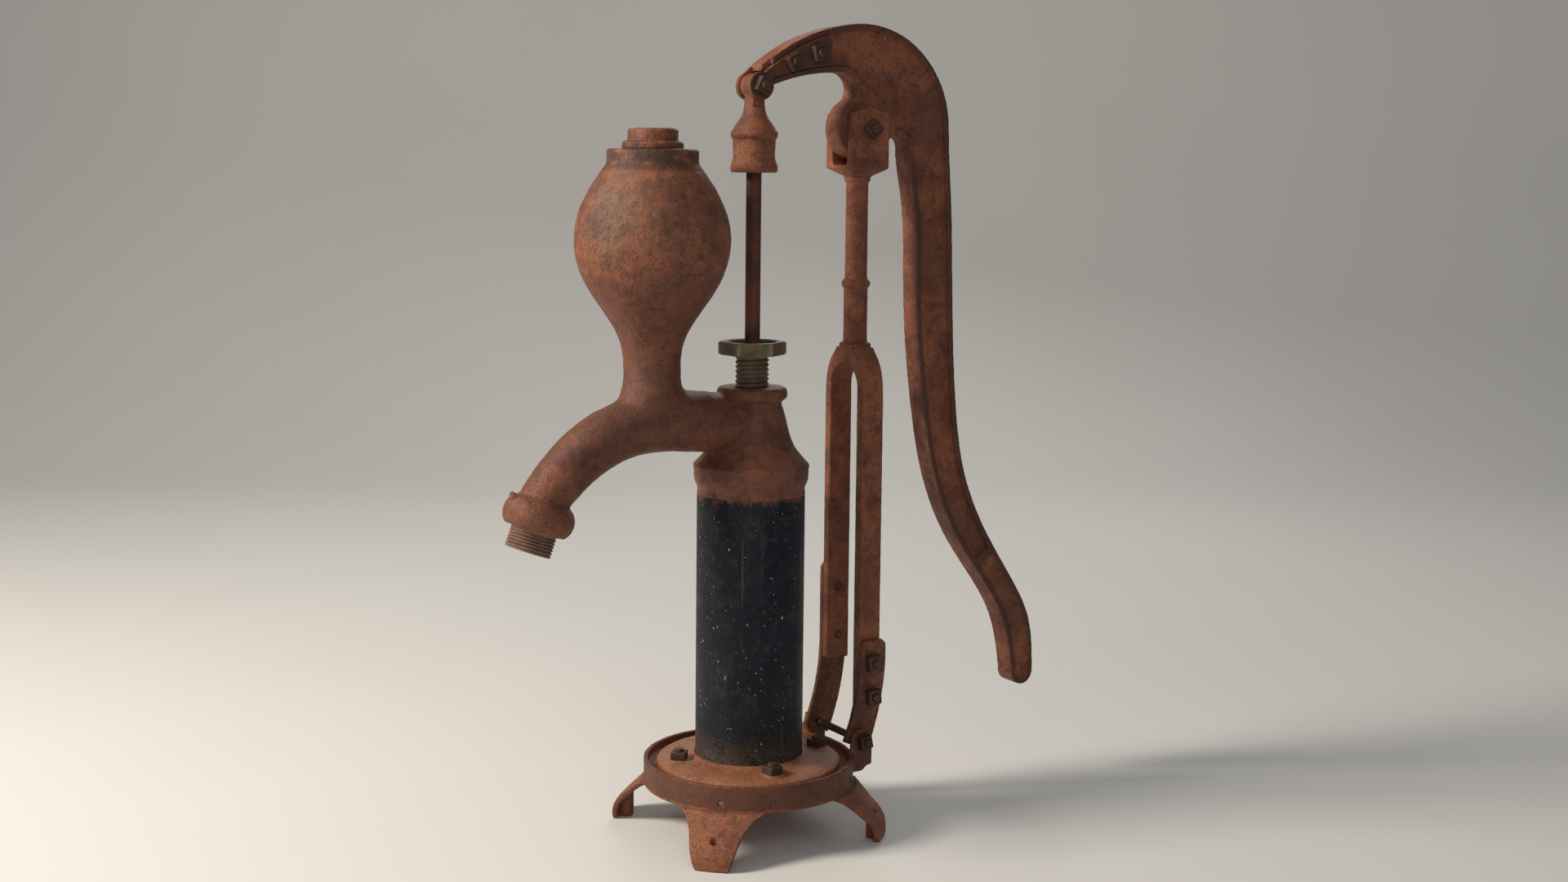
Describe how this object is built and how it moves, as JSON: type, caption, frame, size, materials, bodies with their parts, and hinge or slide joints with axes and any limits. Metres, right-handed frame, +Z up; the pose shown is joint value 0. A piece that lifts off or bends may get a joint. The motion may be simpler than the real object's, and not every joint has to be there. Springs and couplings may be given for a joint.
{
  "type": "hand pitcher pump",
  "caption": "Cast-iron hand water pump: pipe barrel on a footed base, air vessel over a curved spout, curved lever on a forked walking post driving a plunger rod.",
  "frame": {"origin": "on the pump's vertical axis at the level of the feet, the centre of the circle of the four floor screws", "axes": "+Z up along the barrel and the rod, +X towards the post and the lever's grip, -X towards the spout, the lever swings in the XZ plane"},
  "size_m": [0.6531, 0.2376, 0.8561],
  "materials": {
    "rusty_casting": "worn reddish-orange paint over pitted cast iron, mottled with purple-brown rust",
    "strap_iron": "rusted flat bar, dark red-brown",
    "black_pipe": "near-black paint, scuffed and specked with white, satin",
    "fastener_iron": "dark brown oxidised iron",
    "rod_steel": "oiled steel with dark red-brown oxide",
    "aged_bronze": "aged bronze, olive-brown",
    "valve_brass": "dull cast brass",
    "cup_leather": "oiled leather",
    "gasket_rubber": "matte",
    "packing_cord": "greased flax cord"
  },
  "bodies": {
    "pump": {"base_ring": "rusty_casting", "base_flange": "rusty_casting", "flange_bolts": "fastener_iron", "flange_nuts": "fastener_iron", "barrel": "black_pipe", "barrel_gasket": "gasket_rubber", "foot_valve_seat": "valve_brass", "head_casting": "rusty_casting", "vessel_plug": "rusty_casting", "spout_nipple": "aged_bronze", "packing_rings": "packing_cord", "hinge_bolt": "fastener_iron", "hinge_nut": "fastener_iron", "hinge_washer": "fastener_iron"},
    "foot_poppet": {"foot_valve": "valve_brass"},
    "gland_ring": {"gland_follower": "aged_bronze"},
    "gland_screw": {"gland_nut": "aged_bronze"},
    "plunger": {"piston_rod": "rod_steel", "crosshead": "rusty_casting", "plunger_body": "valve_brass", "cup_leather": "cup_leather", "plunger_follower": "valve_brass", "rod_nut": "fastener_iron", "valve_stop": "valve_brass"},
    "ring_valve": {"plunger_valve": "valve_brass"},
    "handle": {"lever": "rusty_casting", "side_plate": "rusty_casting", "fork_bolts": "fastener_iron", "fork_nuts": "fastener_iron", "crosshead_bolt": "fastener_iron", "crosshead_nut": "fastener_iron"},
    "rocking_post": {"fulcrum_post": "rusty_casting", "fulcrum_bolt": "fastener_iron", "fulcrum_nut": "fastener_iron", "near_strap": "strap_iron", "far_strap": "strap_iron", "near_strap_bolts": "fastener_iron", "near_strap_nuts": "fastener_iron", "far_strap_bolts": "fastener_iron", "far_strap_nuts": "fastener_iron"}
  },
  "joints": [
    {"name": "rod_slide", "type": "slide", "parent": "pump", "child": "plunger", "axis": [0, 0, 1], "range_m": [-0.1098, 0]},
    {"name": "handle_swing", "type": "hinge", "parent": "plunger", "child": "handle", "pos_m": [0, 0, 0.787], "axis": [0, -1, 0], "range_deg": [0, 48]},
    {"name": "post_swing", "type": "hinge", "parent": "pump", "child": "rocking_post", "pos_m": [0.113, 0, 0.0889], "axis": [0, -1, 0], "range_deg": [0, 1.01]},
    {"name": "ring_valve_lift", "type": "slide", "parent": "plunger", "child": "ring_valve", "axis": [0, 0, 1], "range_m": [0, 0.0079]},
    {"name": "foot_valve_lift", "type": "slide", "parent": "pump", "child": "foot_poppet", "axis": [0, 0, 1], "range_m": [0, 0.008]},
    {"name": "gland_press", "type": "slide", "parent": "pump", "child": "gland_ring", "axis": [0, 0, 1], "range_m": [-0.0076, 0.0051], "deforming": ["packing_rings"]},
    {"name": "gland_turn", "type": "hinge", "parent": "gland_ring", "child": "gland_screw", "pos_m": [0, 0, 0.5083], "axis": [0, 0, 1], "range_deg": [-540, 360]}
  ],
  "couplings": [
    {"joint": "rod_slide", "follows": "handle_swing", "m_per_rad": -0.13095},
    {"joint": "post_swing", "follows": "handle_swing", "ratio": 0.020971},
    {"joint": "gland_press", "follows": "gland_turn", "m_per_rad": 0.00079577}
  ]
}
